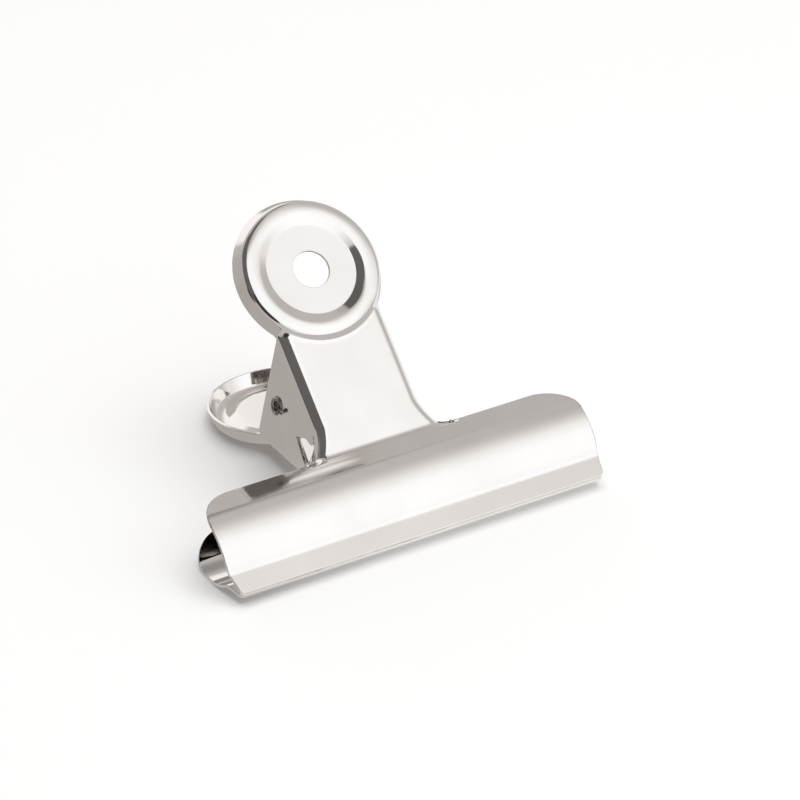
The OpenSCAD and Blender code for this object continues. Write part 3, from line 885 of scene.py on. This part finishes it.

# %% [markdown]
# ## Joining the frame
# Each leaf's skin stands in for its CAD piece and rides on that piece's body. The spring belongs to both,
# since one leg presses each leaf; its skin stands in for the CAD spring but rides on neither body, and
# stays fixed where it was built.

# %% Ride and stand in
for leaf, body in ((front, "front_leaf"), (rear, "rear_leaf")):
    leaf.data.materials.append(plate)
    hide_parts(body)
    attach(leaf, body)
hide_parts("torsion_spring")
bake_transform(spring)
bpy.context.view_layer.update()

# %% [markdown]
# ## A white studio
# A mirror has no colour of its own: what shows in it is the room. The clip lies on a pale sheet under a
# tent. The tent is the world, drawn by direction. It shows in the plating and lights the sheet, while the
# camera itself sees plain white behind the clip. In the plating the sheet shows as a painted glow: painted
# shade behind the clip, painted light in front of it, and painted shade again farther out in front.

# %% One tone laid over another
def laid_over(tree, under, way, heading, start, full, colour, title):
    """Lays a colour over a tone. It begins where way along heading is start, and is whole from full on."""
    along_it = add_node(tree, "ShaderNodeVectorMath", {0: way, 1: heading}, operation="DOT_PRODUCT")
    cover = add_node(
        tree, "ShaderNodeMapRange", {"Value": along_it.outputs["Value"], "From Min": start, "From Max": full},
        interpolation_type="SMOOTHSTEP",
    )
    mixed = add_node(
        tree, "ShaderNodeMix", {"Factor": cover.outputs["Result"], "A": under, "B": linear(colour)},
        data_type="RGBA", label=title,
    )
    return mixed.outputs["Result"]


# %% The floor
floor_half, room_strength = 1.2, 1.2
floor_mesh = bpy.data.meshes.new("floor")
corners = [(x * floor_half, y * floor_half, 0.0) for x, y in ((-1, -1), (1, -1), (1, 1), (-1, 1))]
floor_mesh.from_pydata(corners, [], [(0, 1, 2, 3)])
floor = put_in_scene("floor", floor_mesh)
sheet, tree = new_material("pale_sheet")
paper = add_node(tree, "ShaderNodeBsdfDiffuse", {"Color": linear("#FBFBFB")})
spot = add_node(tree, "ShaderNodeTexCoord").outputs["Object"]
# The sheet as the plating mirrors it is painted: a grey painted shade behind the clip, painted light in front
# of it, and painted shade again far out in front.
shade = linear("#A5A19E")
for title, heading, start, full, colour in (
    ("painted light in front", (0.67, -0.74, 0.0), -0.02, 0.03, "#E1E0DE"),
    ("painted shade far out", (0.0, -1.0, 0.0), 0.044, 0.054, "#B6B3B1"),
):
    shade = laid_over(tree, shade, spot, heading, start, full, colour, title)
# A glow seen only by glossy rays: a painted reflection of the sheet, with its painted light and shade, in
# place of the lit sheet itself.
painted_floor_glow = add_node(tree, "ShaderNodeEmission", {"Color": shade, "Strength": room_strength})
ray = add_node(tree, "ShaderNodeLightPath")
floor_mix = add_node(
    tree, "ShaderNodeMixShader",
    {0: ray.outputs["Is Glossy Ray"], 1: paper.outputs["BSDF"], 2: painted_floor_glow.outputs["Emission"]},
)
add_node(tree, "ShaderNodeOutputMaterial", {"Surface": floor_mix.outputs["Shader"]})
floor_mesh.materials.append(sheet)
print(floor.name, 2 * floor_half, "m square")

# %% [markdown]
# ## The tent
# The tent is one even tone with round cards in it. A card has a compass direction, with the back as
# north, and a height in degrees, then how far from its middle it is whole and where it has faded out, and
# its tone. A card covers the ones before it. Their places come from asking, for each part of the clip,
# which way it mirrors.

# %% Cards of the tent
cards = (
    ("right wall", 116, 17, 43, 63, "#E0DEDC"),
    ("right gap", 74, 46, 13, 37, "#B3B0AE"),
    ("back corner", 9, 61, 17, 24, "#888684"),
    ("back sheet", -14, 36, 32, 34, "#B2AFAD"),
    ("low back sheet", 4, 21, 20, 28, "#EDEBEA"),
    ("low right wall", 69, 13, 30, 46, "#B5B2B0"),
    ("front sheet", 166, 25, 16, 46, "#F8FAFB"),
    ("front top", 175, 52, 12, 22, "#F3F6F7"),
    ("dark screen", -98, 48, 36, 39, "#5E5B59"),
    ("gap overhead", -50, 88, 12, 15, "#5C5957"),
    ("left wall", -58, 10, 21, 29, "#A9A6A4"),
    ("black flag", -141, 21, 18, 23, "#363433"),
    ("low flag", -92, 5, 9, 12, "#2E2C2B"),
)
scene = bpy.context.scene
scene.world = bpy.data.worlds.new("tent")
scene.world.use_nodes = True
tree = scene.world.node_tree
tree.nodes.clear()
way = add_node(tree, "ShaderNodeTexCoord").outputs["Generated"]
shade = linear("#A8A5A3")
for title, azimuth, elevation, whole, faded, colour in cards:
    a, e = math.radians(azimuth), math.radians(elevation)
    middle = (math.sin(a) * math.cos(e), math.cos(a) * math.cos(e), math.sin(e))
    start, full = (math.cos(math.radians(angle)) for angle in (faded, whole))
    shade = laid_over(tree, shade, way, middle, start, full, colour, title)
tent = add_node(tree, "ShaderNodeBackground", {"Color": shade, "Strength": room_strength})
white = add_node(tree, "ShaderNodeBackground", {"Color": linear("#FFFFFF"), "Strength": 1.0})
ray = add_node(tree, "ShaderNodeLightPath")
seen = add_node(
    tree, "ShaderNodeMixShader",
    {0: ray.outputs["Is Camera Ray"], 1: tent.outputs["Background"], 2: white.outputs["Background"]},
)
add_node(tree, "ShaderNodeOutputWorld", {"Surface": seen.outputs["Shader"]})
print(scene.world.name, len(cards), "cards")

# %% [markdown]
# ## The camera
# Found from the picture: the ends of the lip, the round of the head, the neck's sides and the outline of
# the jaw were matched to the clip's own sizes. It is a long lens, looking down about thirty degrees from
# the front left.

# %% Place the camera
camera_at = Vector((-278.08, -518.28, 351.16)) / mm_per_m
camera_looks = Vector((0.42599, 0.75506, -0.49842)).normalized()
camera_up = Vector((0.26972, 0.41986, 0.86656))
lens_length, sensor_width = 167.28, 36.0
lens = bpy.data.cameras.new("camera")
lens.lens, lens.sensor_width = lens_length, sensor_width
camera = put_in_scene("camera", lens)
right = camera_looks.cross(camera_up).normalized()
up = right.cross(camera_looks)
camera.matrix_world = Matrix.Translation(camera_at) @ Matrix((right, up, -camera_looks)).transposed().to_4x4()
scene.camera = camera
scene.view_settings.view_transform = "Standard"
print("camera", round(camera_at.length, 2), "m away, lens", round(lens.lens, 1), "mm")

# %% A lamp for the floor, which the mirror does not see
lamp_watts, lamp_width, lamp_at = 10.2, 1.2, (0.1, -0.1, 1.2)
glow = bpy.data.lights.new("overhead", "AREA")
glow.energy, glow.size = lamp_watts, lamp_width
lamp = put_in_scene("overhead", glow)
lamp.location = lamp_at
lamp.visible_glossy = False
print("lamp", lamp_watts, "W")
